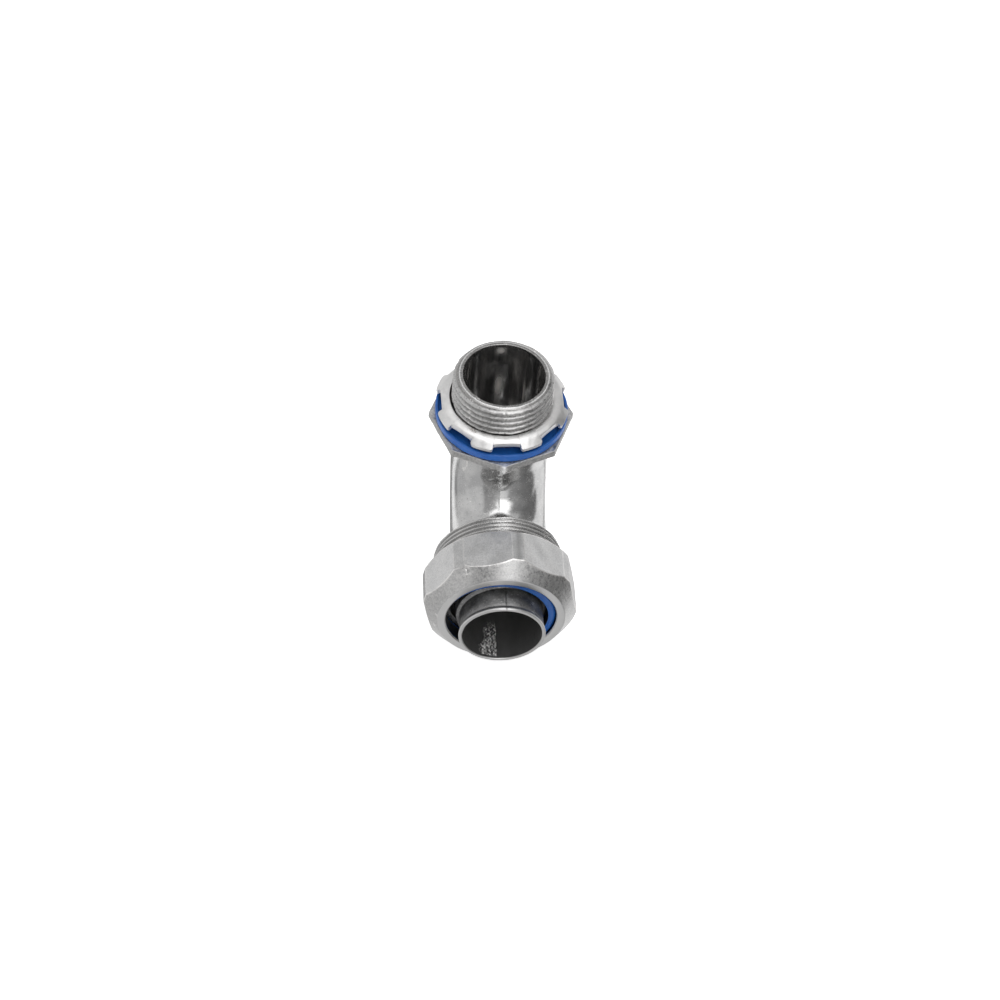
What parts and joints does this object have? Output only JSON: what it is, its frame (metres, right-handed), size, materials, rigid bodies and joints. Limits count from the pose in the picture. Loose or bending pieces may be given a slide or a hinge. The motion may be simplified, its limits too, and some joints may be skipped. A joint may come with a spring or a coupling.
{
  "type": "conduit connector",
  "caption": "Right-angle metal liquid-tight conduit connector: threaded hub with sealing ring and locknut at one end, octagonal compression nut, sealing ring and ferrule at the other.",
  "frame": {"origin": "on the hub's axis, on the flange face that seats against the box wall", "axes": "+Z along the hub, out into the box; -Y along the conduit's axis, the way the conduit leaves"},
  "size_m": [0.0404, 0.0673, 0.0669],
  "materials": {
    "die_cast_zinc": "die-cast zinc, polished tube, rough flange",
    "satin_zinc": "die-cast zinc, satin",
    "plated_steel": "zinc-plated stamped steel, dull",
    "ferrule_steel": "rolled plated steel",
    "blue_plastic": "satin moulded plastic"
  },
  "bodies": {
    "elbow": {"elbow_body": "die_cast_zinc"},
    "hub_ring": {"hub_sealing_ring": "blue_plastic"},
    "locknut": {"locknut": "plated_steel"},
    "gland_ring": {"gland_sealing_ring": "blue_plastic"},
    "gland_nut": {"gland_nut": "satin_zinc"},
    "ferrule": {"ferrule": "ferrule_steel"}
  },
  "joints": [
    {"name": "locknut_turn", "type": "hinge", "parent": "elbow", "child": "hub_ring", "pos_m": [0, 0, 0.001], "axis": [0, 0, 1], "range_deg": [-90, 1620]},
    {"name": "locknut_travel", "type": "slide", "parent": "hub_ring", "child": "locknut", "axis": [0, 0, 1], "range_m": [-0.00046, 0.00817]},
    {"name": "gland_travel", "type": "slide", "parent": "elbow", "child": "gland_ring", "axis": [0, -1, 0], "range_m": [-0.00032, 0.00636]},
    {"name": "gland_nut_turn", "type": "hinge", "parent": "gland_ring", "child": "gland_nut", "pos_m": [0, -0.036, -0.0323], "axis": [0, -1, 0], "range_deg": [-90, 1800]},
    {"name": "ferrule_turn", "type": "hinge", "parent": "elbow", "child": "ferrule", "pos_m": [0, -0.04, -0.0323], "axis": [0, -1, 0], "continuous": true}
  ],
  "couplings": [
    {"joint": "locknut_travel", "follows": "locknut_turn", "m_per_rad": 0.00028875},
    {"joint": "gland_travel", "follows": "gland_nut_turn", "m_per_rad": 0.00020213}
  ]
}
